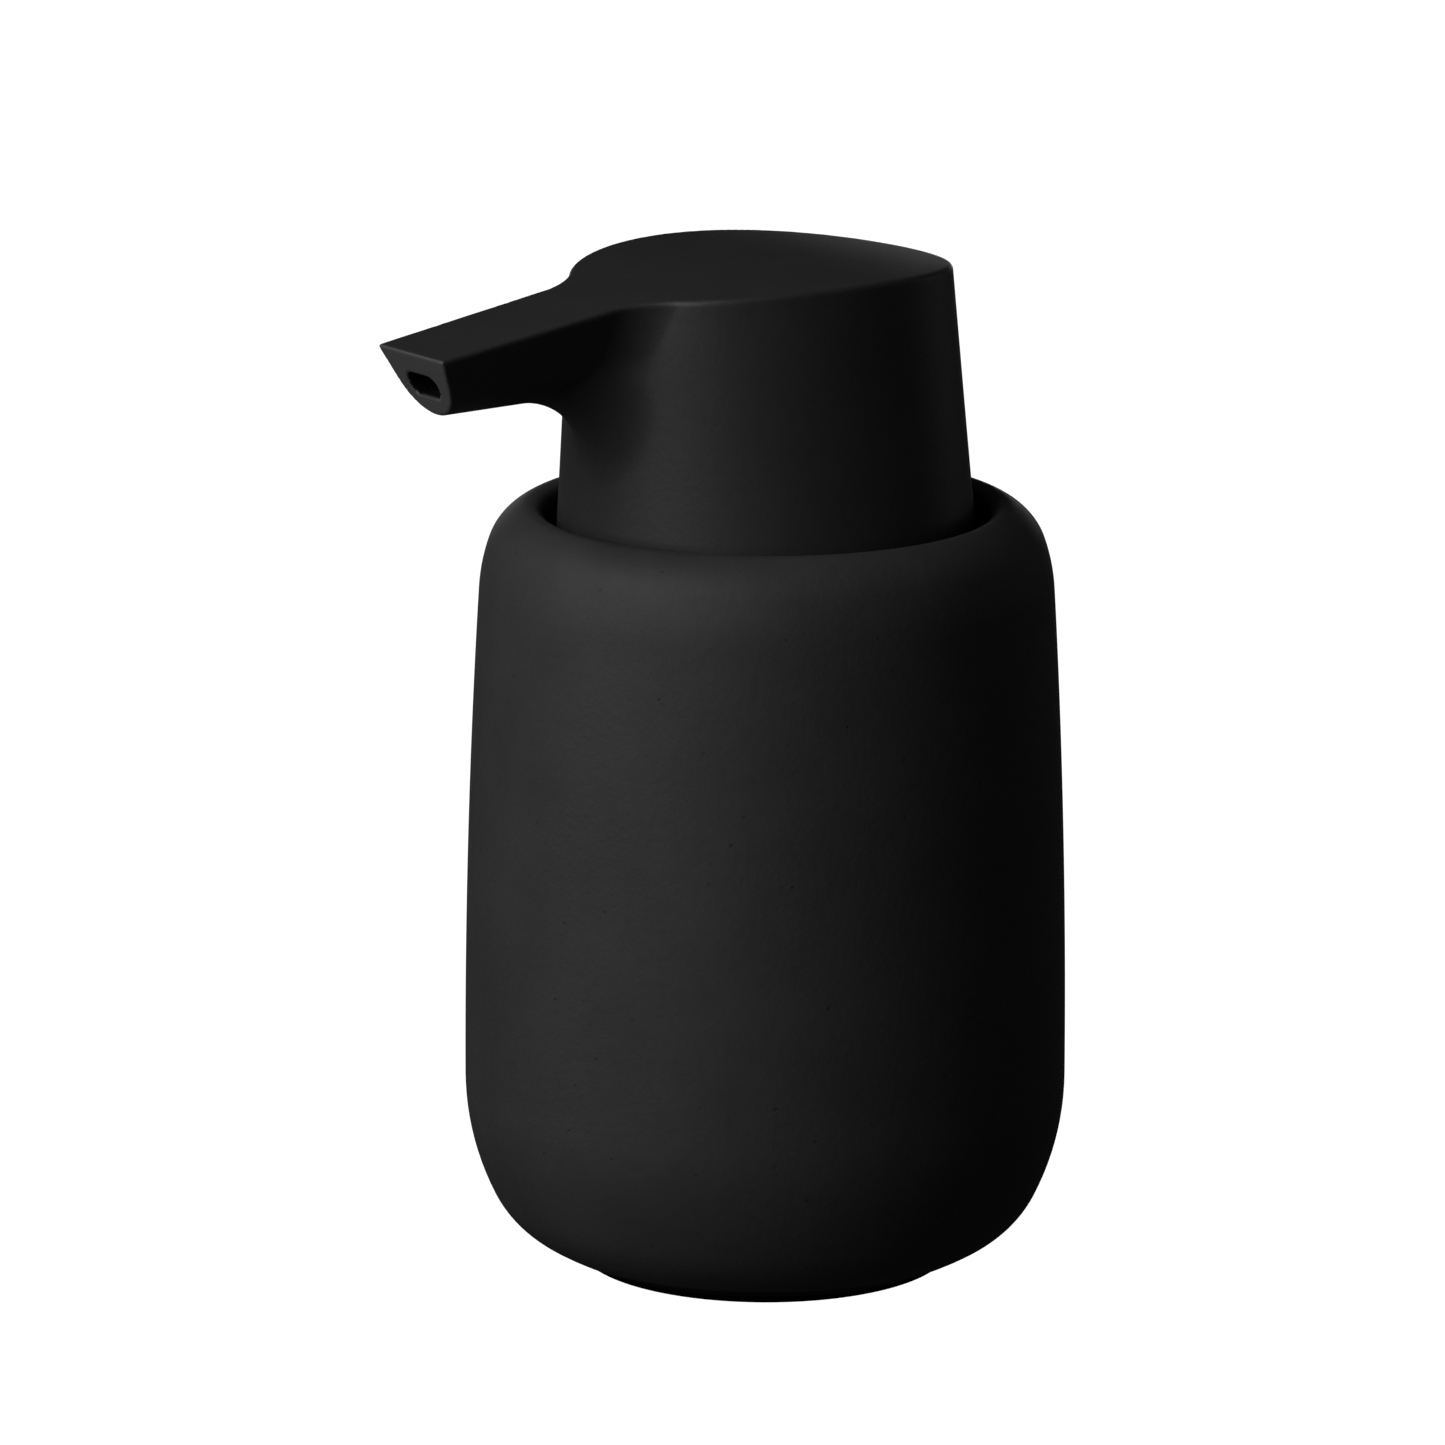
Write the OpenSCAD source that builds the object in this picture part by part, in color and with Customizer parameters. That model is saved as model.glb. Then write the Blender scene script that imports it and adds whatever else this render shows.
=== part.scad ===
// Soap pump dispenser: a stoneware bottle with a deep well in its top, a push-fit pump
// and a one-piece head with a beak spout. Millimetres, +Z up, spout along -Y.
// The origin is the centre of the face that stands on the table.

/* [Bottle] */
// Radius where the ceramic meets its silicone pad
foot_r = 26.8; // [26.2:0.2:27.2]
// Height of the ceramic above the table
pad_proud = 1; // [0.8:0.1:1.4]
// Thickness of the ceramic wall
wall = 5; // [4:0.5:6]
// Angle of the underside where it leaves the foot
underside_rise = 19; // [18:0.5:20]
// Radius of the rounded top of the rim
rim_r = 2.5; // [2:0.1:3]
// Height of the floor of the well
well_floor_z = 85; // [84:0.5:86]
// Radius of the neck hole
neck_r = 14.6; // [14:0.1:15]

/* [Head] */
// Height of the top of the head
head_top_z = 144.8; // [143:0.2:147]
// Height of the lower edge of the skirt
skirt_z = 100; // [99:0.5:102]
// Radius of the skirt's lower edge
skirt_r = 30; // [29:0.2:30.2]
// Taper of the skirt from the vertical
skirt_taper = 5.4; // [4:0.2:6]
// Thickness of the moulded shell
shell_wall = 2.2; // [1.8:0.1:2.6]
// Reach of the spout from the axis
spout_reach = 61.5; // [55:0.5:65]
// Width of the spout's top at its tip
spout_tip_w = 15.6; // [14:0.2:17]
// Angle by which each side of the spout flares towards the head
spout_flare = 1.8; // [1:0.2:4]
// Downward slope of the spout's top
spout_slope = 8; // [7:0.5:9]
// Height of the underside of the spout
spout_under_z = 129.4; // [128:0.2:130]
// Radius of the rounded underside of the spout
spout_keel_r = 6.5; // [6:0.1:6.8]
// Angle by which the spout's end face is cut back under its top edge
spout_cut = 26; // [15:0.5:28]
// Width of the outlet slot
outlet_w = 7; // [6:0.2:8]
// Height of the outlet slot
outlet_h = 3.2; // [2.6:0.1:3.6]

/* [Pump] */
// Travel of the pump head
stroke = 12; // [8:1:12]
// Radius of the stem
stem_r = 4.5; // [4.3:0.1:4.6]
// Bore radius of the pump cylinder
cylinder_bore_r = 6.5; // [6.4:0.1:6.6]
// Radius of the steel check ball at the inlet
inlet_ball_r = 3.2; // [3:0.1:3.4]
// Outer radius of the dip tube
dip_tube_r = 3; // [2.8:0.1:3.2]
// Turns of the return spring
spring_turns = 6; // [5:1:7]

/* [Hidden] */

$fn = 96;
big = 300;
run_gap = 0.05;
seat_gap = 0.01;
chord_error = 0.008;

// Bottle: the outline is a chain of tangent arcs, as [radius, degrees turned]
foot_point = [foot_r, pad_proud];
side_arcs = [[34, 12.5], [14.5, 32.5], [38, 26], [1160, 3.5], [25, 16], [8.5, 45.5]];
side_turn = underside_rise + 12.5 + 32.5 + 26 + 3.5 + 16 + 45.5;
rim_arcs = concat(side_arcs, [[rim_r, 270 - side_turn]]);
pad_recess_r = foot_r - 2.5;
pad_recess_h = 1.4;
pad_r = foot_r - 0.4;
pad_edge = 0.5;
well_corner_r = 3;
ceiling_z = well_floor_z - wall;

// Neck sleeve and plug
sleeve_wall = 1.6;
sleeve_r = neck_r - sleeve_wall;
sleeve_low_z = well_floor_z - 13;
sleeve_flange_r = neck_r + 3;
sleeve_top_z = well_floor_z + 1;
gasket_h = 1;
plug_low_z = sleeve_low_z - 1;
flange_z = sleeve_top_z + gasket_h;
plug_r = sleeve_r - 0.3;
plug_flange_r = sleeve_flange_r + 0.5;
plug_flange_h = 3;
socket_r = 11;
socket_z = flange_z + 1.5;
plug_top_z = flange_z + 6;
plug_rim_r = 13.5;
seal_section_r = 0.9;
seal_r = sleeve_r - run_gap - seal_section_r;
seal_heights = [sleeve_low_z + 3, sleeve_low_z + 8];
groove_h = 2;

// Pump cylinder, from its top flange down to the dip tube
cylinder_r = 8;
cylinder_flange_h = 1.5;
chamber_top_z = 44;
chamber_r = 3.8;
seat_z = 36;
seat_r = 1.8;
tail_r = 4.6;
tail_low_z = 24;
dip_tube_top_z = 34;
dip_tube_low_z = 9;
dip_tube_bore_r = 2;
inlet_ball_z = seat_z - seat_r + inlet_ball_r * sqrt(2) + seat_gap;
cage_h = 2;

// Guide collar and wiper
collar_low_z = 80;
collar_z = socket_z + cylinder_flange_h;
collar_h = 3;
boss_r = 7.6;
boss_h = 3;
wiper_h = 2;
wiper_r = 6.2;
collar_bore_r = stem_r + 0.1;

// Plunger: at the end of its stroke the core stands on the closed spring
spring_low_z = chamber_top_z + cage_h;
spring_closed_h = 8;
core_flange_r = 5.6;
core_low_z = spring_low_z + spring_closed_h + stroke;
core_top_z = core_low_z + 9;
core_bore_r = 1.4;
stem_low_z = core_low_z + 4;
stem_top_z = 126;
stem_bore_r = 2.6;
piston_z = stem_low_z + 2;
piston_h = 7;
outlet_ball_r = 2.2;
outlet_seat_top_r = 2.5;
outlet_seat_z = core_top_z - (outlet_seat_top_r - core_bore_r);
outlet_ball_z = outlet_seat_z - core_bore_r + outlet_ball_r * sqrt(2) + seat_gap;
outlet_cage_z = core_top_z + 4.2;
outlet_cage_h = 2;

// Return spring
spring_wire_r = 0.5;
spring_r = 4.6;
spring_top_z = core_low_z;
spring_sides = 8;
spring_steps = 20;

// Head
crown_r = 220;
crown_d = 2.5;
crown_end_d = crown_d + crown_r * sin(spout_slope);
crown_end_z = head_top_z - crown_r * (1 - cos(spout_slope));
tip_z = crown_end_z - (spout_reach - crown_end_d) * tan(spout_slope);
tip_half_w = spout_tip_w / 2;
head_low_z = 90;
head_high_z = 150;
skirt_top_r = skirt_r - (head_top_z - skirt_z) * tan(skirt_taper);
side_blend_r = 23;
root_blend_r = 17;
root_blend = [46.5, 117];
root_low_z = 119.5;
blend_bite = 0.3;
throat_low_w = 4;
throat_high_w = 19;
throat_high_z = 139;
ceiling_in_z = 139.5;
outlet_z = tip_z - 4.8;
keel_z = spout_under_z + spout_keel_r;

// Head core and spout tube
core_r = 7.5;
core_z = 109;
core_bore_top_z = stem_top_z;
core_disc_r = 18;
core_disc_h = 2;
rib_w = 1.6;
rib_reach = 17.5;
rib_z = 118;
tube_w = 8.4;
tube_h = 4.6;
tube_bore_w = 6.8;
tube_bore_h = 3;
tube_start_d = 5;
tube_end_d = 56;

// Steps that keep the chords of an arc within chord_error of it
function arc_steps(r, s) = max(3, ceil(abs(s) / (2 * acos(1 - chord_error / abs(r)))));

// Points along an arc that leaves p at heading a and turns by s degrees; r below 0 turns right
function arc_points(p, a, r, s) =
    let (n = arc_steps(r, s))
    [for (i = [0:n]) let (t = s * i / n) p + r * [sin(a + t) - sin(a), cos(a) - cos(a + t)]];

// A chain of tangent arcs from p at heading a
function chain(p, a, arcs, i = 0) =
    i == len(arcs) ? [p] :
    let (pts = arc_points(p, a, arcs[i][0], arcs[i][1]), last = len(pts) - 1)
    concat([for (j = [0:last - 1]) pts[j]], chain(pts[last], a + arcs[i][1], arcs, i + 1));

// The same chain, moved inwards by d
function inset_point(p, a, d) = p + d * [-sin(a), cos(a)];
function inset_arcs(arcs, d) = [for (s = arcs) [s[0] - d, s[1]]];

function head_r(z) = skirt_r - (z - skirt_z) * tan(skirt_taper);

module revolve(points) rotate_extrude() polygon(points);

// A tube between two heights
module ring(r_out, r_in, z, h) {
    translate([0, 0, z]) difference() {
        cylinder(r = r_out, h = h);
        translate([0, 0, -1]) cylinder(r = r_in, h = h + 2);
    }
}

// Local X becomes the direction of the spout
module along_spout() rotate([0, 0, -90]) children();

// A side view in (distance along the spout, height), as thick as w across it
module side_slab(w) rotate([90, 0, 0]) linear_extrude(w, center = true) children();

// A cross-section in (distance across the spout, height), from d0 to d1
module spout_bar(d0, d1) translate([d0, 0, 0]) rotate([90, 0, 90]) linear_extrude(d1 - d0) children();

module slot_outline(w, h) {
    for (side = [-1, 1]) translate([side * (w - h) / 2, outlet_z]) circle(d = h, $fn = 32);
    translate([-(w - h) / 2, outlet_z - h / 2]) square([w - h, h]);
}

// ---- Bottle ----

module bottle_outline() {
    rim = chain(foot_point, underside_rise, rim_arcs);
    wall_end = rim[len(rim) - 1];
    corner = [wall_end[0], well_floor_z + well_corner_r];
    well = arc_points(corner, 270, -well_corner_r, -90);
    polygon(concat([[0, pad_proud]], rim, well, [[0, well_floor_z]]));
}

module reservoir_outline() {
    start = inset_point(foot_point, underside_rise, wall);
    side = chain(start, underside_rise, inset_arcs(side_arcs, wall));
    intersection() {
        polygon(concat([[0, start[1]]], side, [[0, side[len(side) - 1][1]]]));
        square([big, ceiling_z]);
    }
}

module bottle() {
    color("#26262a") rotate_extrude() difference() {
        bottle_outline();
        reservoir_outline();
        translate([0, ceiling_z - 1]) square([neck_r, wall + 2]);
        square([pad_recess_r, pad_proud + pad_recess_h]);
    }
}

module base_pad() {
    color("#111113") revolve([
        [0, 0], [pad_r - pad_edge, 0], [pad_r, pad_edge], [pad_r, pad_proud],
        [pad_recess_r, pad_proud], [pad_recess_r, pad_proud + pad_recess_h],
        [0, pad_proud + pad_recess_h]
    ]);
}

module neck_sleeve() {
    color("#35363a") {
        ring(neck_r, sleeve_r, sleeve_low_z, well_floor_z - sleeve_low_z);
        ring(sleeve_flange_r, sleeve_r, well_floor_z, sleeve_top_z - well_floor_z);
    }
}

// ---- Pump unit ----

module pump_plug() {
    color("#3c3d42") difference() {
        revolve([
            [cylinder_r, plug_low_z], [plug_r - 0.8, plug_low_z], [plug_r, plug_low_z + 0.8],
            [plug_r, flange_z], [plug_flange_r, flange_z], [plug_flange_r, flange_z + plug_flange_h],
            [plug_rim_r, flange_z + plug_flange_h], [plug_rim_r, plug_top_z], [socket_r, plug_top_z],
            [socket_r, socket_z], [cylinder_r, socket_z]
        ]);
        for (z = seal_heights)
            ring(plug_r + 1, seal_r - seal_section_r, z - groove_h / 2, groove_h);
    }
}

module plug_seals() {
    color("#17181a") for (z = seal_heights)
        translate([0, 0, z]) rotate_extrude() translate([seal_r, 0]) circle(seal_section_r, $fn = 32);
}

module flange_gasket() {
    color("#6b6e70") ring(sleeve_flange_r - 0.5, plug_r + 0.1, sleeve_top_z, gasket_h);
}

module pump_cylinder() {
    color("#d9dde0") revolve([
        [cylinder_bore_r, collar_z], [socket_r, collar_z], [socket_r, socket_z],
        [cylinder_r, socket_z], [cylinder_r, chamber_top_z - 2],
        [chamber_r + 1.8, seat_z + 1], [tail_r, seat_z - 1], [tail_r, tail_low_z],
        [dip_tube_r, tail_low_z], [dip_tube_r, dip_tube_top_z], [seat_r, dip_tube_top_z],
        [seat_r, seat_z], [chamber_r, seat_z + chamber_r - seat_r], [chamber_r, chamber_top_z],
        [cylinder_bore_r, chamber_top_z]
    ]);
}

module guide_collar() {
    color("#aeb2b6") revolve([
        [collar_bore_r, collar_low_z], [cylinder_bore_r, collar_low_z], [cylinder_bore_r, collar_z],
        [socket_r, collar_z], [socket_r, collar_z + collar_h], [boss_r, collar_z + collar_h],
        [boss_r, collar_z + collar_h + boss_h], [wiper_r, collar_z + collar_h + boss_h],
        [wiper_r, collar_z + collar_h + boss_h - wiper_h],
        [collar_bore_r, collar_z + collar_h + boss_h - wiper_h]
    ]);
}

module stem_wiper() {
    top = collar_z + collar_h + boss_h;
    color("#8a2f2a") revolve([
        [stem_r + run_gap, top - 0.4], [stem_r + run_gap, top - 0.9], [stem_r + 0.6, top - wiper_h],
        [wiper_r, top - wiper_h], [wiper_r, top - 0.4]
    ]);
}

module inlet_ball() {
    color("#c8ccd0") translate([0, 0, inlet_ball_z]) sphere(inlet_ball_r);
}

module ball_cage() {
    color("#e6e8ea") difference() {
        translate([0, 0, chamber_top_z]) cylinder(r = cylinder_bore_r, h = cage_h);
        for (turn = [0:90:270]) rotate([0, 0, turn])
            translate([2.6, 0, chamber_top_z - 1]) cylinder(r = 1.1, h = cage_h + 2, $fn = 32);
    }
}

module dip_tube() {
    color("#eef0f1") difference() {
        ring(dip_tube_r, dip_tube_bore_r, dip_tube_low_z, dip_tube_top_z - dip_tube_low_z);
        translate([0, 0, dip_tube_low_z]) rotate([0, 35, 0])
            translate([-2 * dip_tube_r, -dip_tube_r - 1, -6])
                cube([4 * dip_tube_r, 2 * dip_tube_r + 2, 6]);
    }
}

// One ring of points for each step along the wire, and flat end coils
module return_spring() {
    steps = spring_turns * spring_steps;
    z0 = spring_low_z + spring_wire_r;
    z1 = spring_top_z - spring_wire_r;
    flat = 0.75 / spring_turns;
    function rise(u) = min(max((u - flat) / (1 - 2 * flat), 0), 1);
    points = [
        for (i = [0:steps]) let (u = i / steps, a = 360 * spring_turns * u, z = z0 + (z1 - z0) * rise(u))
            for (k = [0:spring_sides - 1]) let (b = 360 * k / spring_sides)
                [
                    (spring_r + spring_wire_r * cos(b)) * cos(a),
                    (spring_r + spring_wire_r * cos(b)) * sin(a),
                    z + spring_wire_r * sin(b)
                ]
    ];
    sides = [
        for (i = [0:steps - 1]) for (k = [0:spring_sides - 1])
            let (k1 = (k + 1) % spring_sides, p = i * spring_sides, q = p + spring_sides)
                [p + k, q + k, q + k1, p + k1]
    ];
    start_cap = [[for (k = [0:spring_sides - 1]) k]];
    end_cap = [[for (k = [spring_sides - 1:-1:0]) steps * spring_sides + k]];
    color("#b9bdc2") polyhedron(points, concat(sides, start_cap, end_cap), convexity = 10);
}

// ---- Plunger ----

module stem() {
    color("#cfd3d6") ring(stem_r, stem_bore_r, stem_low_z, stem_top_z - stem_low_z);
}

module piston_core() {
    color("#9ea3a8") revolve([
        [core_bore_r, core_low_z], [core_flange_r, core_low_z], [core_flange_r, stem_low_z],
        [stem_bore_r, stem_low_z], [stem_bore_r, core_top_z], [outlet_seat_top_r, core_top_z],
        [core_bore_r, outlet_seat_z]
    ]);
}

module piston_seal() {
    lip_r = cylinder_bore_r - run_gap;
    waist_r = lip_r - 0.7;
    color("#f2efe4") revolve([
        [stem_r, piston_z], [waist_r, piston_z + 1], [lip_r, piston_z], [lip_r, piston_z + 1.6],
        [waist_r, piston_z + 2.6], [waist_r, piston_z + piston_h - 2.6],
        [lip_r, piston_z + piston_h - 1.6], [lip_r, piston_z + piston_h],
        [waist_r, piston_z + piston_h - 1], [stem_r, piston_z + piston_h]
    ]);
}

module outlet_ball() {
    color("#c8ccd0") translate([0, 0, outlet_ball_z]) sphere(outlet_ball_r);
}

module outlet_cage() {
    color("#e6e8ea") ring(stem_bore_r, 1.2, outlet_cage_z, outlet_cage_h);
}

// ---- Head ----

// Everything under the crowned top, cut off at the slanted end face
module under_crown() {
    back_turn = 14;
    back_point = [crown_d, head_top_z - crown_r] + crown_r * [-sin(back_turn), cos(back_turn)];
    crown = arc_points(back_point, back_turn, -crown_r, -(back_turn + spout_slope));
    end_run = (tip_z - head_low_z) * tan(spout_cut);
    polygon(concat(
        [[back_point[0], head_low_z]], crown,
        [[spout_reach, tip_z], [spout_reach - end_run, head_low_z]]
    ));
}

module skirt_cone(inset, z0, z1) {
    translate([0, 0, z0]) cylinder(r1 = head_r(z0) - inset, r2 = head_r(z1) - inset, h = z1 - z0);
}

// Cross-section of the spout: a round keel with sides that lean outwards to the top edges
module spout_section() {
    edge = [tip_half_w, tip_z - keel_z];
    reach = norm(edge);
    tangent_a = atan2(edge[1], edge[0]) - acos(spout_keel_r / reach);
    touch = spout_keel_r * [cos(tangent_a), sin(tangent_a)];
    lean = (edge - touch) / norm(edge - touch);
    high = edge + lean * 20;
    steps = arc_steps(spout_keel_r, 180 + 2 * tangent_a);
    keel = [
        for (i = [0:steps]) let (a = tangent_a - (180 + 2 * tangent_a) * i / steps)
            spout_keel_r * [cos(a), sin(a)]
    ];
    translate([0, keel_z]) polygon(concat([high], keel, [[-high[0], high[1]]]));
}

// Plan of the spout, which a concave arc blends into the round head on each side
module spout_plan() {
    n = [sin(spout_flare), cos(spout_flare)];
    m = [cos(spout_flare), -sin(spout_flare)];
    off = n * [spout_reach, tip_half_w] + side_blend_r;
    along = sqrt(pow(skirt_top_r - blend_bite + side_blend_r, 2) - off * off);
    centre = off * n + along * m;
    start_a = atan2(centre[1], centre[0]) + 180;
    end_a = 270 - spout_flare;
    steps = arc_steps(side_blend_r, end_a - start_a);
    blend = [
        for (i = [0:steps]) let (a = start_a + (end_a - start_a) * i / steps)
            centre + side_blend_r * [cos(a), sin(a)]
    ];
    edge = concat(blend, [[spout_reach, tip_half_w]]);
    last = len(edge) - 1;
    polygon(concat(edge, [for (i = [last:-1:0]) [edge[i][0], -edge[i][1]]]));
}

// Side view of the blend under the spout: it rises from the skirt in a concave arc
module root_profile() {
    low_a = 180 - asin((root_low_z - root_blend[1]) / root_blend_r);
    steps = arc_steps(root_blend_r, low_a - 90);
    curve = [
        for (i = [0:steps]) let (a = low_a - (low_a - 90) * i / steps)
            root_blend + root_blend_r * [cos(a), sin(a)]
    ];
    top = [[spout_reach, tip_z + 2], [spout_reach, head_high_z], [0, head_high_z]];
    polygon(concat([[0, root_low_z]], curve, top));
}

// Cross-section of the blend under the spout: a throat that widens upwards
module throat_section() {
    polygon([
        [-throat_low_w, root_low_z], [throat_low_w, root_low_z], [throat_high_w, throat_high_z],
        [throat_high_w, head_high_z], [-throat_high_w, head_high_z], [-throat_high_w, throat_high_z]
    ]);
}

module spout() {
    intersection() {
        translate([0, 0, head_low_z]) linear_extrude(head_high_z - head_low_z) spout_plan();
        union() {
            spout_bar(0, spout_reach + 1) spout_section();
            intersection() {
                side_slab(big) root_profile();
                spout_bar(0, spout_reach + 1) throat_section();
            }
        }
    }
}

module head_shell() {
    color("#1d1d20") along_spout() difference() {
        intersection() {
            union() {
                skirt_cone(0, skirt_z, head_high_z);
                spout();
            }
            side_slab(big) under_crown();
        }
        skirt_cone(shell_wall, skirt_z - 1, ceiling_in_z);
        spout_bar(head_r(outlet_z) - 2 * shell_wall, tube_end_d) slot_outline(tube_w, tube_h);
        spout_bar(tube_end_d - 1, spout_reach + 1) slot_outline(outlet_w, outlet_h);
    }
}

module head_core() {
    color("#55585d") along_spout() difference() {
        union() {
            translate([0, 0, core_z]) cylinder(r = core_r, h = ceiling_in_z - core_z);
            translate([0, 0, ceiling_in_z - core_disc_h]) cylinder(r = core_disc_r, h = core_disc_h);
            for (turn = [90, 180, 270]) rotate([0, 0, turn])
                translate([0, -rib_w / 2, rib_z]) cube([rib_reach, rib_w, ceiling_in_z - rib_z]);
        }
        translate([0, 0, core_z - 1]) cylinder(r = stem_r + run_gap, h = core_bore_top_z - core_z + 1);
        translate([0, 0, core_bore_top_z - 1]) cylinder(r = stem_bore_r, h = outlet_z - core_bore_top_z + 1);
        spout_bar(0, tube_start_d + 1) slot_outline(tube_bore_w, tube_bore_h);
        spout_bar(tube_start_d, core_r + 1) slot_outline(tube_w, tube_h);
    }
}

module spout_tube() {
    color("#dfe2e4") along_spout() difference() {
        spout_bar(tube_start_d, tube_end_d) slot_outline(tube_w, tube_h);
        spout_bar(tube_start_d - 1, tube_end_d + 1) slot_outline(tube_bore_w, tube_bore_h);
    }
}

bottle();
base_pad();
neck_sleeve();
pump_plug();
plug_seals();
flange_gasket();
pump_cylinder();
guide_collar();
stem_wiper();
inlet_ball();
ball_cage();
dip_tube();
return_spring();
stem();
piston_core();
piston_seal();
outlet_ball();
outlet_cage();
head_shell();
head_core();
spout_tube();
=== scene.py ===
"""Soap pump dispenser: matt black stoneware bottle, soft-touch pump head with a beak spout."""
import math

import bpy
import numpy as np
from mathutils import Matrix, Vector


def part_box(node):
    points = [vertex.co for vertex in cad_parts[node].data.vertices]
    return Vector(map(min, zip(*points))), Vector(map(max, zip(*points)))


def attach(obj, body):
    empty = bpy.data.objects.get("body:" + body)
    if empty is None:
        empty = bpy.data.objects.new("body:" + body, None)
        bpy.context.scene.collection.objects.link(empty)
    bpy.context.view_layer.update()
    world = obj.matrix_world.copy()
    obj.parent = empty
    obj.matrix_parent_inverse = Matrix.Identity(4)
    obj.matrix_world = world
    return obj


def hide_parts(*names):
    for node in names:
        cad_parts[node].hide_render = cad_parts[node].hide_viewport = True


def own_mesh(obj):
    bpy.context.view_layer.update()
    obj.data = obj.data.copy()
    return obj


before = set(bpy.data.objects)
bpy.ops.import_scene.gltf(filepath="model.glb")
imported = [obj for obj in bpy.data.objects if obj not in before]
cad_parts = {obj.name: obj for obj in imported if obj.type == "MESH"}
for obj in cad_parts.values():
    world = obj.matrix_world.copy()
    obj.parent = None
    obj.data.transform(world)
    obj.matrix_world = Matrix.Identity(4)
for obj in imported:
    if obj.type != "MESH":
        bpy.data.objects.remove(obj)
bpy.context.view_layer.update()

MM = 0.001


def node_mm(name):
    """Lowest and highest corner of a CAD node, in millimetres."""
    low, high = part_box(name)
    return np.array(low) / MM, np.array(high) / MM


# ---------------------------------------------------------------- sizes, in millimetres

bottle_low = node_mm("bottle")[0]
pad_low, pad_high = node_mm("base_pad")
sleeve_high = node_mm("neck_sleeve")[1]
head_low, head_high = node_mm("head_shell")
core_high = node_mm("head_core")[1]
tube_low, tube_high = node_mm("spout_tube")
spring_low, spring_high = node_mm("return_spring")

# Bottle; its side is a chain of tangent arcs from the foot to the rim, as (radius, degrees turned)
FOOT_R = pad_high[0] + 0.4
UNDERSIDE_RISE = 19.0
SIDE_ARCS = ((34, 12.5), (14.5, 32.5), (38, 26), (1160, 3.5), (25, 16), (8.5, 45.5))
RIM_R = 2.5
WALL = 5.0
WELL_FLOOR_Z = sleeve_high[2] - 1.0
WELL_CORNER_R = 3.0
NECK_R = 14.6
NECK_EDGE_R = 0.8
PAD_RECESS_R = FOOT_R - 2.5
PAD_LOWER_EDGE_R = 0.4
PAD_UPPER_EDGE_R = 0.15
PAD_PLUG_EDGE_R = 0.3

# Head: d runs along the spout, t across it, z up
SKIRT_Z = head_low[2]
SKIRT_R = head_high[0]
HEAD_TOP_Z = head_high[2]
SPOUT_REACH = -head_low[1]
SKIRT_TAPER = math.radians(5.4)
CROWN_LENGTH_R = 28.5
CROWN_WIDTH_R = 23.5
CROWN_SHIFT = 1.2
SKIRT_EDGE_R = 0.5
SHELL_WALL = 2.2
HOLLOW_EDGE_R = 1.0
MOUTH_EDGE_R = 0.4
CROWN_R = 220.0
CROWN_D = 2.5
SPOUT_SLOPE = math.radians(8)
CROWN_END_D = CROWN_D + CROWN_R * math.sin(SPOUT_SLOPE)
CROWN_END_Z = HEAD_TOP_Z - CROWN_R * (1 - math.cos(SPOUT_SLOPE))
TIP_Z = CROWN_END_Z - (SPOUT_REACH - CROWN_END_D) * math.tan(SPOUT_SLOPE)
TIP_HALF_W = 7.8
SPOUT_FLARE = math.radians(1.8)
SPOUT_CUT = math.radians(26)
KEEL_R = 6.5
KEEL_Z = 129.4 + KEEL_R
SIDE_BLEND_R = 4.5
ROOT_BLEND_R = 14.0
TOP_EDGE_R = 0.7
END_EDGE_R = 0.3
SLOT_EDGE_R = 0.15
SLOT_W, SLOT_H = 7.0, 3.2
END_FACE_DEPTH = 0.12
BORE_MARGIN = 0.1
BORE_OVERLAP = 2.0
CHANNEL_W, CHANNEL_H = tube_high[0] - tube_low[0], tube_high[2] - tube_low[2]
CHANNEL_END_D = -tube_low[1]
OUTLET_Z = (tube_low[2] + tube_high[2]) / 2
CEILING_Z = core_high[2]
GRID_MARGIN = 1.0
HEAD_CELL = 0.34

# Return spring
SPRING_TURNS = 6
FLAT_TURNS = 0.75
WIRE_R = 0.5

# ---------------------------------------------------------------- mesh helpers


def add_mesh(name, points_mm, faces, material, smooth=True):
    """A mesh object from points in millimetres; faces may have three or four corners."""
    mesh = bpy.data.meshes.new(name)
    mesh.from_pydata((np.asarray(points_mm) * MM).tolist(), [], faces)
    mesh.validate()
    if smooth:
        mesh.shade_smooth()
    mesh.materials.append(material)
    obj = bpy.data.objects.new(name, mesh)
    bpy.context.scene.collection.objects.link(obj)
    return obj


def arc(start, heading, radius, sweep, step=2.5):
    """Points after start along an arc that turns left by sweep degrees, or right where both are negative."""
    a = math.radians(heading)
    longest = 2.0
    count = max(2, math.ceil(abs(sweep) / step), math.ceil(abs(math.radians(sweep) * radius) / longest))
    t = np.radians(sweep) * np.arange(1, count + 1) / count
    turn = np.stack([np.sin(a + t) - math.sin(a), math.cos(a) - np.cos(a + t)], axis=1)
    return [tuple(np.array(start) + radius * row) for row in turn]


def arc_chain(start, heading, arcs):
    """Points along tangent arcs, each given as (radius, degrees turned)."""
    points = [tuple(start)]
    for radius, sweep in arcs:
        points += arc(points[-1], heading, radius, sweep)
        heading += sweep
    return points


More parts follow.
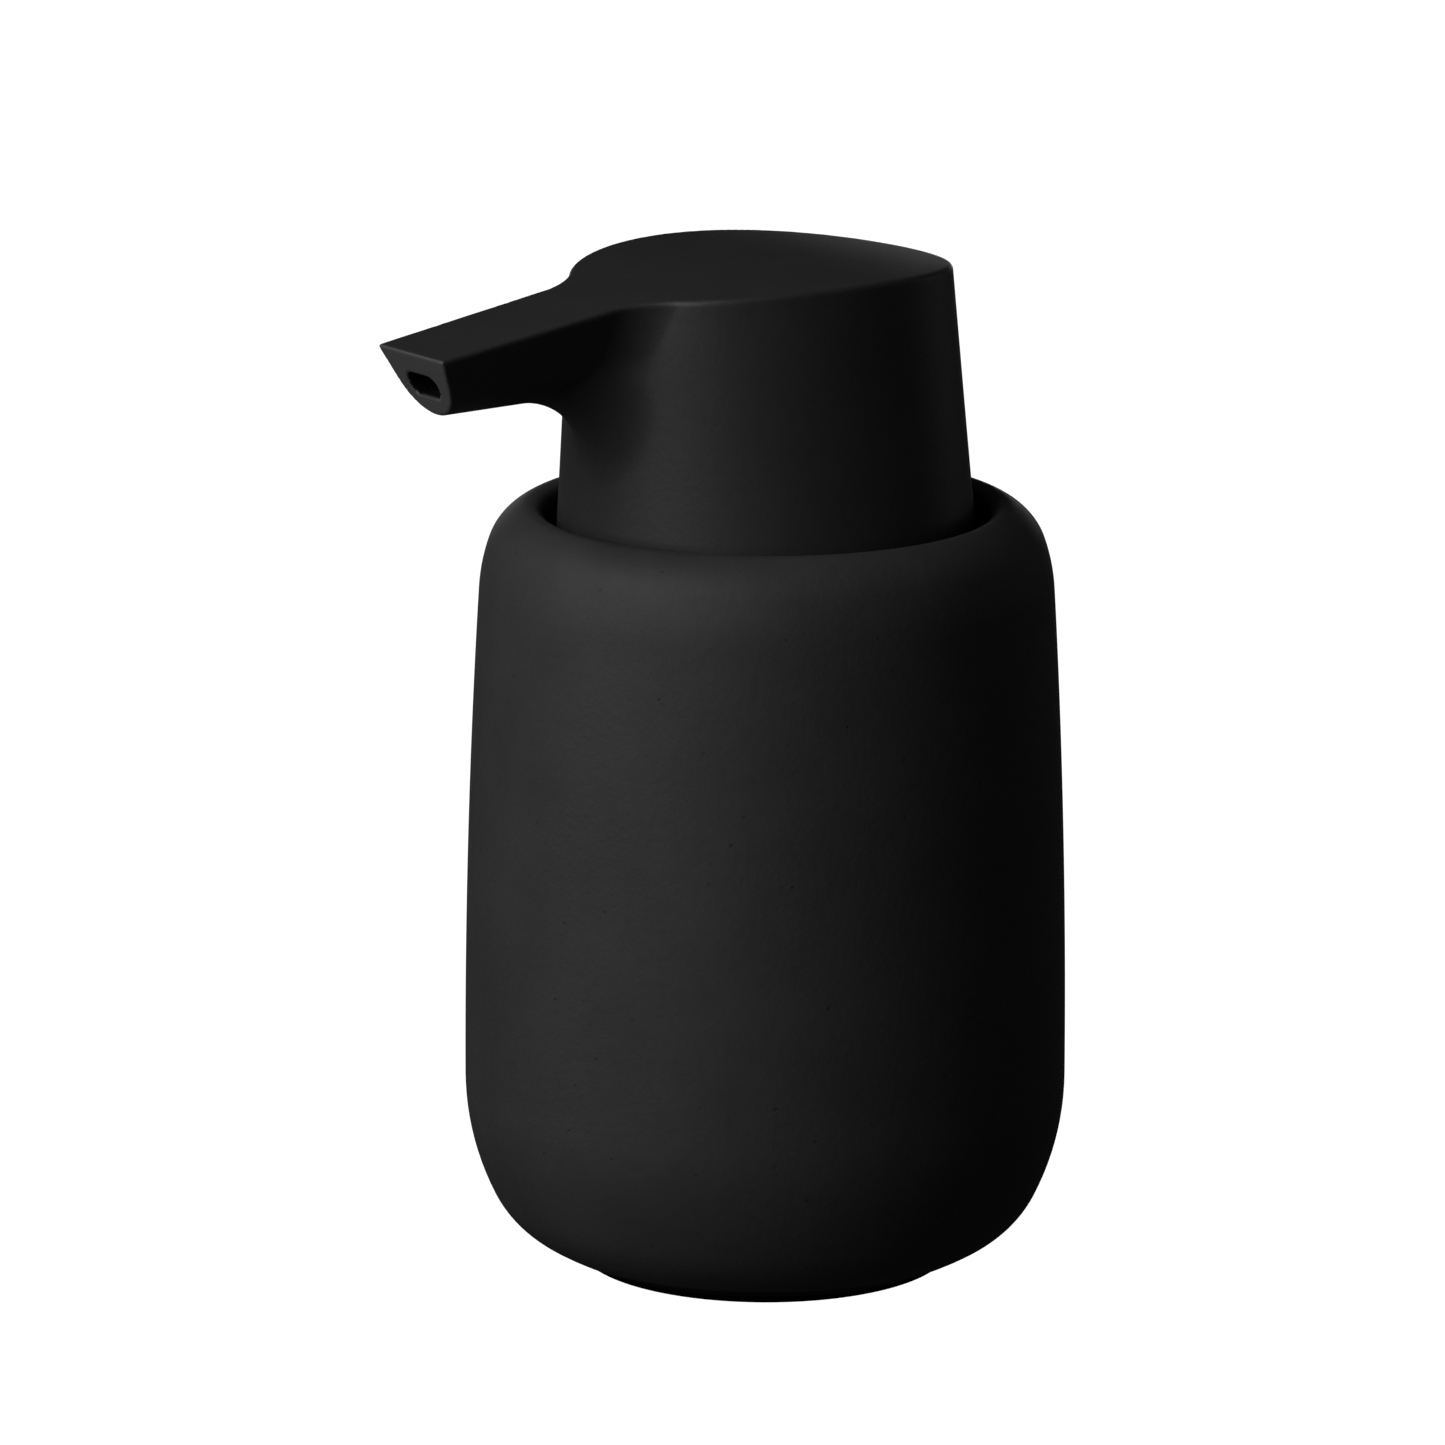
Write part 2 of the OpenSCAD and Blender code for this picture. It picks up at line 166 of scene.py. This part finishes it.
def rounded(corners, radii, step=12):
    """An open outline with its inner corners rounded by tangent arcs."""
    points = [corners[0]]
    for i in range(1, len(corners) - 1):
        p, q, r = (np.array(corners[k], float) for k in (i - 1, i, i + 1))
        radius = radii[i] if hasattr(radii, "__len__") else radii
        u, v = (p - q) / np.linalg.norm(p - q), (r - q) / np.linalg.norm(r - q)
        half = math.acos(max(-1, min(1, float(u @ v)))) / 2
        if radius <= 0 or half > math.radians(88):
            points.append(tuple(q))
            continue
        centre = q + (u + v) / np.linalg.norm(u + v) * radius / math.sin(half)
        first, last = q + u * radius / math.tan(half), q + v * radius / math.tan(half)
        a0 = math.atan2(*(first - centre)[::-1])
        a1 = math.atan2(*(last - centre)[::-1])
        turn = (a1 - a0 + math.pi) % (2 * math.pi) - math.pi
        count = max(2, math.ceil(abs(math.degrees(turn)) / step))
        points += [
            (centre[0] + radius * math.cos(angle), centre[1] + radius * math.sin(angle))
            for angle in (a0 + turn * k / count for k in range(count + 1))
        ]
    return points + [corners[-1]]


def revolve(name, profile, material, segments=192):
    """Turns a profile of (radius, height) points about Z: an open one from axis to axis, or a closed one."""
    on_axis = profile[0][0] < 1e-6 and profile[-1][0] < 1e-6
    angles = 2 * np.pi * np.arange(segments) / segments
    ring = np.stack([np.cos(angles), np.sin(angles), np.ones(segments)], axis=1)
    inner = profile[1:-1] if on_axis else profile
    points = np.concatenate([ring * (r, r, z) for r, z in inner])
    faces = []
    rows = len(inner)
    for i in range(rows - 1 if on_axis else rows):
        a, b = i * segments, (i + 1) % rows * segments
        faces += [(a + k, a + (k + 1) % segments, b + (k + 1) % segments, b + k) for k in range(segments)]
    if on_axis:
        first, last = len(points), len(points) + 1
        points = np.concatenate([points, [(0, 0, profile[0][1]), (0, 0, profile[-1][1])]])
        top = (rows - 1) * segments
        faces += [(first, (k + 1) % segments, k) for k in range(segments)]
        faces += [(last, top + k, top + (k + 1) % segments) for k in range(segments)]
    return add_mesh(name, points, faces, material)


# ---------------------------------------------------------------- implicit surfaces


TINY = 1e-9


def round_union(a, b, r):
    """Union of two distance fields with a concave fillet of radius r."""
    return np.maximum(r, np.minimum(a, b)) - np.hypot(np.maximum(r - a, 0), np.maximum(r - b, 0))


def round_cut(a, b, r):
    """Intersection of two distance fields with its edge rounded to radius r."""
    return np.minimum(-r, np.maximum(a, b)) + np.hypot(np.maximum(r + a, 0), np.maximum(r + b, 0))


def surface_net(field, low, high, cell):
    """Points and quads of the surface where field is zero, each point moved onto it by Newton steps."""
    axes = [np.arange(lo, hi + cell, cell) for lo, hi in zip(low, high)]
    grid = np.stack([field(x, axes[1][:, None], axes[2][None, :]) for x in axes[0]])
    inside = grid < 0
    cells = tuple(n - 1 for n in grid.shape)
    corners = [(i, j, k) for i in (0, 1) for j in (0, 1) for k in (0, 1)]
    blocks = [inside[i:i + cells[0], j:j + cells[1], k:k + cells[2]] for i, j, k in corners]
    active = np.logical_or.reduce(blocks) & ~np.logical_and.reduce(blocks)
    number = np.full(cells, -1)
    at = np.argwhere(active)
    number[active] = np.arange(len(at))

    total = np.zeros((len(at), 3))
    crossings = np.zeros(len(at))
    for i, corner in enumerate(corners):
        for other in corners[i + 1:]:
            step = np.subtract(other, corner)
            if np.abs(step).sum() != 1:
                continue
            v0 = grid[tuple((at + corner).T)]
            v1 = grid[tuple((at + other).T)]
            cut = (v0 < 0) != (v1 < 0)
            where = np.where(cut, v0 / np.where(cut, v0 - v1, 1), 0)
            total += cut[:, None] * (np.array(corner) + where[:, None] * step)
            crossings += cut
    points = np.array(low) + cell * (at + total / crossings[:, None])

    quads = []
    for a in range(3):
        b, c = (a + 1) % 3, (a + 2) % 3
        eb, ec = np.eye(3, dtype=int)[b], np.eye(3, dtype=int)[c]
        near = np.moveaxis(inside, a, 0)[:-1]
        far = np.moveaxis(inside, a, 0)[1:]
        edge = np.argwhere(np.moveaxis(near != far, 0, a))
        quad = np.stack([number[tuple((edge - off).T)] for off in (0 * eb, eb, eb + ec, ec)], axis=1)
        leaving = inside[tuple(edge.T)]
        quads.append(np.where(leaving[:, None], quad, quad[:, ::-1]))
    return settle(field, points, cell), np.concatenate(quads)


def settle(field, points, cell, rounds=5):
    """Newton steps along the field's gradient."""
    h = 0.02
    for _ in range(rounds):
        d, t, z = points.T
        value = field(d, t, z)
        slope = np.stack([
            field(d + h, t, z) - field(d - h, t, z),
            field(d, t + h, z) - field(d, t - h, z),
            field(d, t, z + h) - field(d, t, z - h),
        ], axis=1) / (2 * h)
        size = np.maximum(np.linalg.norm(slope, axis=1), 0.2)
        step = np.clip(value / size, -cell / 2, cell / 2)
        points = points - (step / size)[:, None] * slope
    return points


def slot_field(t, z, w, h):
    """Distance to a slot with round ends, w wide and h high."""
    return np.hypot(np.maximum(np.abs(t) - (w - h) / 2, 0), z - OUTLET_Z) - h / 2


def spout_field(d, t, z):
    """The bar of the spout: a round keel with sides that lean out to the top edges."""
    edge = np.array([TIP_HALF_W, TIP_Z - KEEL_Z])
    touch = math.atan2(edge[1], edge[0]) - math.acos(KEEL_R / np.linalg.norm(edge))
    flare = math.tan(SPOUT_FLARE) - math.tan(SPOUT_SLOPE) * math.tan(-touch)
    across = np.abs(t) / (1 + flare * (SPOUT_REACH - d) / TIP_HALF_W)
    height = z - KEEL_Z
    side = across * math.cos(touch) + height * math.sin(touch) - KEEL_R
    keel = np.hypot(across, height) - KEEL_R
    bar = np.where(np.arctan2(height, across) > touch, side, keel)
    return np.where(d < 0, np.hypot(np.maximum(bar, 0), d), bar)


def crown_field(d, z):
    """Height above the head's top: a shallow arc that runs on as the spout's straight slope."""
    arc_part = np.hypot(d - CROWN_D, z - (HEAD_TOP_Z - CROWN_R)) - CROWN_R
    slope_part = (z - CROWN_END_Z) * math.cos(SPOUT_SLOPE) + (d - CROWN_END_D) * math.sin(SPOUT_SLOPE)
    return np.where(d < CROWN_END_D, arc_part, slope_part)


def skirt_field(d, t, z):
    """The skirt: round at its lower edge, an oval a little nearer the spout at the top."""
    rise = (z - SKIRT_Z) / (HEAD_TOP_Z - SKIRT_Z)
    half_length = SKIRT_R + (CROWN_LENGTH_R - SKIRT_R) * rise
    half_width = SKIRT_R + (CROWN_WIDTH_R - SKIRT_R) * rise
    along = (d - CROWN_SHIFT * rise) / half_length
    across = t / half_width
    size = np.hypot(along, across)
    slope = np.hypot(along / half_length, across / half_width)
    return (size - 1) * size / np.maximum(slope, 1e-6) * math.cos(SKIRT_TAPER)


def end_field(d, z):
    """Distance beyond the flat end face of the spout, which is cut back under its top edge."""
    return (d - SPOUT_REACH) * math.cos(SPOUT_CUT) - (z - TIP_Z) * math.sin(SPOUT_CUT)


def head_field(d, t, z):
    """The moulded head: tapered skirt, spout blended into it, crowned top, hollow inside."""
    cone = skirt_field(d, t, z)
    drop = np.maximum(KEEL_Z - z, 0)
    below = drop ** 2 / (drop ** 2 + t ** 2 + TINY)
    blend = SIDE_BLEND_R + (ROOT_BLEND_R - SIDE_BLEND_R) * below
    solid = round_union(cone, spout_field(d, t, z), blend)
    solid = round_cut(solid, crown_field(d, z), TOP_EDGE_R)
    solid = round_cut(solid, end_field(d, z), END_EDGE_R)
    solid = round_cut(solid, SKIRT_Z - z, SKIRT_EDGE_R)
    hollow = round_cut(cone + SHELL_WALL, z - CEILING_Z, HOLLOW_EDGE_R)
    solid = round_cut(solid, -hollow, MOUTH_EDGE_R)
    slot = np.maximum(slot_field(t, z, SLOT_W, SLOT_H), CHANNEL_END_D - 1 - d)
    solid = round_cut(solid, -slot, SLOT_EDGE_R)
    channel = slot_field(t, z, CHANNEL_W, CHANNEL_H)
    channel = np.maximum(channel, np.maximum(d - CHANNEL_END_D, SKIRT_R / 2 - d))
    return np.maximum(solid, -channel)


def bottle_outline():
    """The outer side from the foot over the rim to the top of the well's wall."""
    rim_turn = 270 - UNDERSIDE_RISE - sum(sweep for _, sweep in SIDE_ARCS)
    return arc_chain((FOOT_R, bottle_low[2]), UNDERSIDE_RISE, SIDE_ARCS + ((RIM_R, rim_turn),))


WELL_R = bottle_outline()[-1][0]
# Painted shade: within the well's radius the stoneware's colour is scaled by this and its specular faded,
# which darkens the well and also the underside of the foot.
WELL_PAINTED_SHADE = 0.2

# ---------------------------------------------------------------- materials


class Nodes:
    """A small helper that adds shader nodes and links them."""

    def __init__(self, name):
        self.material = bpy.data.materials.new(name)
        self.material.use_nodes = True
        self.tree = self.material.node_tree
        self.bsdf = self.tree.nodes["Principled BSDF"]
        self.coords = self.tree.nodes.new("ShaderNodeTexCoord").outputs["Object"]

    def add(self, kind, links=None, **values):
        """A new node with its inputs linked, and with settings or input values by name."""
        node = self.tree.nodes.new(kind)
        for key, value in values.items():
            if hasattr(node, key):
                setattr(node, key, value)
            else:
                node.inputs[key.replace("_", " ")].default_value = value
        for socket, source in (links or {}).items():
            self.tree.links.new(source, node.inputs[socket])
        return node

    def noise(self, scale, detail=3.0, roughness=0.55):
        """Noise in object space; scale is in cells per metre."""
        return self.add(
            "ShaderNodeTexNoise", {"Vector": self.coords}, Scale=scale, Detail=detail, Roughness=roughness)

    def ramp(self, source, stops):
        """A colour ramp over the source, with stops as (place, colour)."""
        node = self.add("ShaderNodeValToRGB", {"Fac": source})
        for i, (place, colour) in enumerate(stops):
            stop = node.color_ramp.elements[i] if i < 2 else node.color_ramp.elements.new(place)
            stop.position = place
            stop.color = (*colour, 1)
        return node.outputs["Color"]

    def span(self, source, low, high):
        """The source, from 0 to 1, mapped to low to high."""
        node = self.add("ShaderNodeMapRange", {"Value": source})
        node.inputs["To Min"].default_value = low
        node.inputs["To Max"].default_value = high
        return node.outputs["Result"]

    def outside_radius(self, radius_mm, inside_value):
        """1 outside a radius about Z, and inside_value within it, with a soft edge between the two."""
        edge_from, edge_to = 0.2, 1.4
        flat = self.add("ShaderNodeVectorMath", {0: self.coords}, operation="MULTIPLY")
        flat.inputs[1].default_value = (1, 1, 0)
        length = self.add("ShaderNodeVectorMath", {0: flat.outputs[0]}, operation="LENGTH")
        node = self.add("ShaderNodeMapRange", {"Value": length.outputs["Value"]})
        node.inputs["From Min"].default_value = (radius_mm + edge_from) * MM
        node.inputs["From Max"].default_value = (radius_mm + edge_to) * MM
        node.inputs["To Min"].default_value = inside_value
        return node.outputs["Result"]

    def bump(self, height, strength, distance, under=None):
        links = {"Height": height}
        if under is not None:
            links["Normal"] = under
        return self.add("ShaderNodeBump", links, Strength=strength, Distance=distance).outputs["Normal"]

    def set(self, socket, value):
        """Links a node's output to the shader's socket, or sets a constant on it."""
        target = self.bsdf.inputs[socket]
        if hasattr(value, "is_output"):
            self.tree.links.new(value, target)
        else:
            target.default_value = value


def grey(value):
    return (value, value, value)


def matt_coat(name, shade, rough, specular, mottle, grain, pits, well_r=None):
    """Matt black coat: fine grain, faint clouding, a few pinholes, and painted shade (darker colour, less
    specular) within well_r of the Z axis.
    """
    n = Nodes(name)
    cloud = n.noise(70, 5, 0.62).outputs["Fac"]
    fine = n.noise(2600, 2, 0.6).outputs["Fac"]
    peel = n.noise(900, 3).outputs["Fac"]
    cells = n.add("ShaderNodeTexVoronoi", {"Vector": n.coords}, Scale=230.0, Randomness=1.0)
    holes = cells.outputs["Distance"]
    hole_depth = n.ramp(holes, [(0.0, (0, 0, 0)), (0.07, (1, 1, 1))])
    tone = n.ramp(cloud, [(0.32, grey(shade * (1 - mottle))), (0.68, grey(shade * (1 + mottle)))])
    speck = n.ramp(holes, [(0.0, grey(1 - pits)), (0.09, grey(1.0))])
    mix = n.add("ShaderNodeMix", {6: tone, 7: speck}, data_type="RGBA", blend_type="MULTIPLY")
    mix.inputs["Factor"].default_value = 1.0
    if well_r is None:
        n.set("Base Color", mix.outputs[2])
        n.set("Specular IOR Level", specular)
    else:
        # Painted shade: colour and specular are turned down within well_r.
        outside = n.outside_radius(well_r, WELL_PAINTED_SHADE)
        well_shaded_colour = n.add("ShaderNodeVectorMath", {0: mix.outputs[2], "Scale": outside}, operation="SCALE")
        n.set("Base Color", well_shaded_colour.outputs[0])
        n.set("Specular IOR Level", n.span(outside, 0.0, specular))
    n.set("Roughness", n.span(peel, rough - 0.04, rough + 0.05))
    coarse = n.bump(peel, grain, 0.00012)
    fine_bump = n.bump(fine, grain * 0.6, 0.00005, coarse)
    n.set("Normal", n.bump(hole_depth, pits, 0.0001, fine_bump))
    return n.material


def rubber(name, shade, rough=0.8, specular=0.25):
    """Dull silicone or rubber with a little dust in its tone."""
    n = Nodes(name)
    dust = n.noise(120, 4).outputs["Fac"]
    grain = n.noise(1800, 2).outputs["Fac"]
    n.set("Base Color", n.ramp(dust, [(0.35, grey(shade)), (0.8, grey(shade * 1.35))]))
    n.set("Roughness", n.span(grain, rough - 0.06, rough + 0.06))
    n.set("Specular IOR Level", specular)
    n.set("Normal", n.bump(grain, 0.25, 0.00006))
    return n.material


def moulded(name, colour, rough, specular=0.5):
    """Injection-moulded plastic with a fine spark-eroded texture."""
    n = Nodes(name)
    flow = n.noise(60, 3).outputs["Fac"]
    grain = n.noise(2200, 2).outputs["Fac"]
    dark = tuple(c * 0.94 for c in colour)
    n.set("Base Color", n.ramp(flow, [(0.3, dark), (0.7, colour)]))
    n.set("Roughness", n.span(grain, rough - 0.05, rough + 0.05))
    n.set("Specular IOR Level", specular)
    n.set("Normal", n.bump(grain, 0.15, 0.00005))
    return n.material


def translucent(name, colour, rough, transmission):
    """Milky plastic that lets some light through."""
    n = Nodes(name)
    flow = n.noise(45, 3).outputs["Fac"]
    n.set("Base Color", n.ramp(flow, [(0.3, tuple(c * 0.95 for c in colour)), (0.7, colour)]))
    n.set("Roughness", n.span(flow, rough - 0.04, rough + 0.06))
    n.set("Transmission Weight", transmission)
    n.set("IOR", 1.49)
    n.set("Normal", n.bump(flow, 0.05, 0.0002))
    return n.material


def steel(name, rough=0.16):
    """Polished steel with faint wear."""
    n = Nodes(name)
    wear = n.noise(500, 3).outputs["Fac"]
    n.set("Base Color", n.ramp(wear, [(0.3, (0.55, 0.56, 0.58)), (0.7, (0.66, 0.67, 0.69))]))
    n.set("Metallic", 1.0)
    n.set("Roughness", n.span(wear, rough - 0.04, rough + 0.08))
    n.set("Normal", n.bump(wear, 0.08, 0.00004))
    return n.material


# The stoneware carries painted shade in the well and under the foot.
STONEWARE = matt_coat("stoneware_coat", 0.042, 0.62, 0.4, mottle=0.12, grain=0.5, pits=0.6, well_r=WELL_R)
SOFT_TOUCH = matt_coat("head_coat", 0.033, 0.46, 0.45, mottle=0.08, grain=0.3, pits=0.0)
# Painted light: a lighter coat on the spout's end face stands in for light thrown up from the table.
END_FACE_PAINTED_LIGHT = matt_coat("spout_end_painted_light", 0.085, 0.6, 0.4, mottle=0.06, grain=0.3, pits=0.0)
SILICONE = rubber("silicone_black", 0.0015, 0.9, 0.05)
GASKET = rubber("gasket_grey", 0.17, 0.7)
# Near black: the spout tube's own black plastic, and painted shade on the slot's walls in the head.
CHANNEL_BLACK_AND_SLOT_SHADE = moulded("channel_black_and_slot_shade", (0.006, 0.006, 0.006), 0.6, 0.2)
BLACK_PLASTIC = moulded("plastic_black", (0.022, 0.022, 0.023), 0.45)
WHITE_PLASTIC = moulded("plastic_white", (0.78, 0.79, 0.79), 0.35)
SEAL_WHITE = rubber("seal_ivory", 0.6, 0.5)
CLEAR = translucent("polypropylene_clear", (0.86, 0.89, 0.9), 0.25, 0.6)
STEEL = steel("steel_polished")

# ---------------------------------------------------------------- pieces


def build_bottle():
    """The shell with its foot recess, well and neck hole, hollow inside."""
    foot_z = bottle_low[2]
    outer = bottle_outline()
    corner = (outer[-1][0], WELL_FLOOR_Z + WELL_CORNER_R)
    well = [corner] + arc(corner, 270, -WELL_CORNER_R, -90, step=10)
    ceiling_z = WELL_FLOOR_Z - WALL
    neck = rounded(
        [well[-1], (NECK_R, WELL_FLOOR_Z), (NECK_R, ceiling_z), (NECK_R + 2 * WALL, ceiling_z)],
        NECK_EDGE_R,
    )[1:-1]
    a = math.radians(UNDERSIDE_RISE)
    inner_start = (FOOT_R - WALL * math.sin(a), foot_z + WALL * math.cos(a))
    inner = arc_chain(inner_start, UNDERSIDE_RISE, [(r - WALL, sweep) for r, sweep in SIDE_ARCS])
    inner = [p for p in inner if p[1] < ceiling_z - 1.0]
    inner_top = (inner[-1][0], ceiling_z)
    recess_z = pad_high[2]
    profile = [(0, recess_z), (PAD_RECESS_R, recess_z), (PAD_RECESS_R, foot_z)] + outer + well[:-1]
    profile += neck + [(inner_top[0] - 1, ceiling_z)] + inner[::-1] + [(0, inner_start[1])]
    return revolve("bottle_shell", profile, STONEWARE, 256)


def build_pad():
    """The silicone disc: its rim stands proud of the foot and its middle fills the recess."""
    r, proud = pad_high[0], bottle_low[2]
    corners = [(0, pad_low[2]), (r, pad_low[2]), (r, proud), (PAD_RECESS_R, proud),
               (PAD_RECESS_R, pad_high[2]), (0, pad_high[2])]
    edges = [0, PAD_LOWER_EDGE_R, PAD_UPPER_EDGE_R, 0, PAD_PLUG_EDGE_R, 0]
    return revolve("foot_pad", rounded(corners, edges), SILICONE)


def build_head():
    """The head from its field, with painted shade on the bore in the slot and a painted lighter end face."""
    low = np.array((-SKIRT_R, -SKIRT_R, SKIRT_Z)) - GRID_MARGIN
    high = np.array((SPOUT_REACH, SKIRT_R, HEAD_TOP_Z)) + GRID_MARGIN
    points, quads = surface_net(head_field, low, high, HEAD_CELL)
    turned = np.stack([points[:, 1], -points[:, 0], points[:, 2]], axis=1)
    head = add_mesh("pump_head", turned, quads.tolist(), SOFT_TOUCH)
    head.data.materials.append(CHANNEL_BLACK_AND_SLOT_SHADE)
    head.data.materials.append(END_FACE_PAINTED_LIGHT)
    d, t, z = points[quads].mean(axis=1).T
    past_end = end_field(d, z)
    # Painted shade: the head's own walls inside the slot get the near-black coat.
    bore = slot_field(t, z, SLOT_W, SLOT_H) < BORE_MARGIN
    bore &= (past_end < -SLOT_EDGE_R) & (d > CHANNEL_END_D - BORE_OVERLAP)
    # Index 1 is painted shade on the bore; index 2 is painted light on the end face.
    face_material = np.where(bore, 1, np.where(past_end > -END_FACE_DEPTH, 2, 0))
    head.data.polygons.foreach_set("material_index", face_material.astype(np.int32))
    return head


def build_spring():
    """Turns of wire with flat end coils."""
    steps, sides = 48, 14
    easing = 0.25
    coil_r = spring_high[0] - WIRE_R
    u = np.arange(SPRING_TURNS * steps + 1) / (SPRING_TURNS * steps)
    flat = FLAT_TURNS / SPRING_TURNS
    rise = np.clip((u - flat) / (1 - 2 * flat), 0, 1)
    rise = rise * rise * (3 - 2 * rise) * easing + rise * (1 - easing)
    z = spring_low[2] + WIRE_R + (spring_high[2] - spring_low[2] - 2 * WIRE_R) * rise
    a = 2 * np.pi * SPRING_TURNS * u
    b = 2 * np.pi * np.arange(sides) / sides
    r = coil_r + WIRE_R * np.cos(b)
    points = np.stack([
        np.cos(a)[:, None] * r, np.sin(a)[:, None] * r, z[:, None] + WIRE_R * np.sin(b)
    ], axis=2).reshape(-1, 3)
    faces = []
    for i in range(len(u) - 1):
        for k in range(sides):
            p, q, k1 = i * sides, (i + 1) * sides, (k + 1) % sides
            faces.append((p + k, q + k, q + k1, p + k1))
    faces.append(tuple(range(sides)))
    faces.append(tuple(len(u) * sides - 1 - k for k in range(sides)))
    return add_mesh("spring_coil", points, faces, STEEL)


def place(piece, body, node, slot):
    """Puts a piece on its body in place of a CAD node; its slot argument is not used."""
    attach(piece, body)
    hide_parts(node)


place(build_bottle(), "bottle", "bottle", "glazed_stoneware")
place(build_pad(), "bottle", "base_pad", "black_silicone")
place(build_head(), "head", "head_shell", "soft_touch_plastic")
spring = build_spring()
place(spring, "pump_unit", "return_spring", "steel")
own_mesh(spring)

for node_name, material in {
    "neck_sleeve": BLACK_PLASTIC, "pump_plug": BLACK_PLASTIC, "plug_seals": SILICONE,
    "flange_gasket": GASKET, "pump_cylinder": CLEAR, "guide_collar": BLACK_PLASTIC,
    "stem_wiper": SILICONE, "inlet_ball": STEEL, "ball_cage": WHITE_PLASTIC, "dip_tube": CLEAR,
    "stem": WHITE_PLASTIC, "piston_core": WHITE_PLASTIC, "piston_seal": SEAL_WHITE,
    "outlet_ball": STEEL, "outlet_cage": WHITE_PLASTIC, "head_core": BLACK_PLASTIC,
    "spout_tube": CHANNEL_BLACK_AND_SLOT_SHADE,
}.items():
    for material_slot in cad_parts[node_name].material_slots:
        material_slot.material = material

# ---------------------------------------------------------------- camera, floor and light

TARGET = Vector((0, 0, 0.070))
CAMERA_DISTANCE = 1.4
CAMERA_AZIMUTH = 52.7
CAMERA_ELEVATION = 14.02
CAMERA_ROLL = 0.21
CAMERA_LENS = 245.9
CAMERA_SHIFT = (-0.0302, 0.0371)

# Brightness of the white surround to the camera, and what the floor and the world give to all other rays
WHITE_LEVEL = 1.08
FLOOR_FILL = 0.016
WORLD_FILL = 0.022
FLOOR_ALBEDO = 0.006
FLOOR_HALF = 4000.0


def around(azimuth, elevation, distance):
    """A point seen from the target: azimuth 0 is in front (-Y), and it grows towards +X."""
    az, el = math.radians(azimuth), math.radians(elevation)
    return TARGET + distance * Vector((
        math.sin(az) * math.cos(el), -math.cos(az) * math.cos(el), math.sin(el)))


def aim(obj, place_at):
    """Moves a camera or light and turns it towards the target."""
    obj.location = place_at
    obj.rotation_euler = (TARGET - place_at).to_track_quat("-Z", "Y").to_euler()


def softbox(name, azimuth, elevation, distance, size, power, height=None):
    """A rectangular soft light, placed by its angle from the camera."""
    data = bpy.data.lights.new(name, "AREA")
    data.shape = "RECTANGLE"
    data.size = size
    data.size_y = height or size
    data.energy = power
    lamp = bpy.data.objects.new(name, data)
    bpy.context.scene.collection.objects.link(lamp)
    aim(lamp, around(CAMERA_AZIMUTH + azimuth, elevation, distance))
    lamp.visible_camera = False
    return lamp


def build_camera():
    """The camera at the photo's angle, turned a little about its own axis."""
    data = bpy.data.cameras.new("camera")
    data.lens = CAMERA_LENS
    data.sensor_width = 36.0
    data.shift_x, data.shift_y = CAMERA_SHIFT
    data.clip_end = 20.0
    camera = bpy.data.objects.new("camera", data)
    bpy.context.scene.collection.objects.link(camera)
    aim(camera, around(CAMERA_AZIMUTH, CAMERA_ELEVATION, CAMERA_DISTANCE))
    camera.matrix_world = camera.rotation_euler.to_matrix().to_4x4() @ Matrix.Rotation(
        math.radians(CAMERA_ROLL), 4, "Z")
    camera.location = around(CAMERA_AZIMUTH, CAMERA_ELEVATION, CAMERA_DISTANCE)
    bpy.context.scene.camera = camera


def build_floor():
    """A plain white table: bright to the camera, but it throws almost no light back up."""
    n = Nodes("white_table")
    out = n.tree.nodes["Material Output"]
    n.set("Base Color", (FLOOR_ALBEDO, FLOOR_ALBEDO, FLOOR_ALBEDO, 1))
    n.set("Roughness", 0.95)
    n.set("Specular IOR Level", 0.0)
    ray = n.add("ShaderNodeLightPath").outputs["Is Camera Ray"]
    glow = n.add("ShaderNodeEmission", {"Strength": n.span(ray, FLOOR_FILL, WHITE_LEVEL)})
    both = n.add("ShaderNodeAddShader")
    n.tree.links.new(n.bsdf.outputs[0], both.inputs[0])
    n.tree.links.new(glow.outputs[0], both.inputs[1])
    n.tree.links.new(both.outputs[0], out.inputs["Surface"])
    corners = [(x * FLOOR_HALF, y * FLOOR_HALF, 0) for x, y in ((-1, -1), (1, -1), (1, 1), (-1, 1))]
    table = add_mesh("table", corners, [(0, 1, 2, 3)], n.material, smooth=False)


def build_world():
    """White to the camera and nearly dark to everything else."""
    world = bpy.data.worlds.new("studio")
    bpy.context.scene.world = world
    world.use_nodes = True
    tree = world.node_tree
    backdrop = tree.nodes["Background"]
    ray = tree.nodes.new("ShaderNodeLightPath").outputs["Is Camera Ray"]
    level = tree.nodes.new("ShaderNodeMapRange")
    level.inputs["To Min"].default_value = WORLD_FILL
    level.inputs["To Max"].default_value = WHITE_LEVEL
    tree.links.new(ray, level.inputs["Value"])
    backdrop.inputs["Color"].default_value = (1, 1, 1, 1)
    tree.links.new(level.outputs["Result"], backdrop.inputs["Strength"])


build_camera()
build_floor()
build_world()
softbox("key", -66, 42, 0.75, 0.55, 2.1)
softbox("front_key", -37, 29, 0.75, 0.4, 0.9)
softbox("left_panel", -58, 8, 1.2, 0.9, 1.7, 0.5)
softbox("back", 180, 0, 1.3, 0.8, 1.2, 0.12)
softbox("rim", 125, 8, 1.3, 0.6, 0.18)
bpy.context.scene.view_settings.view_transform = "Standard"
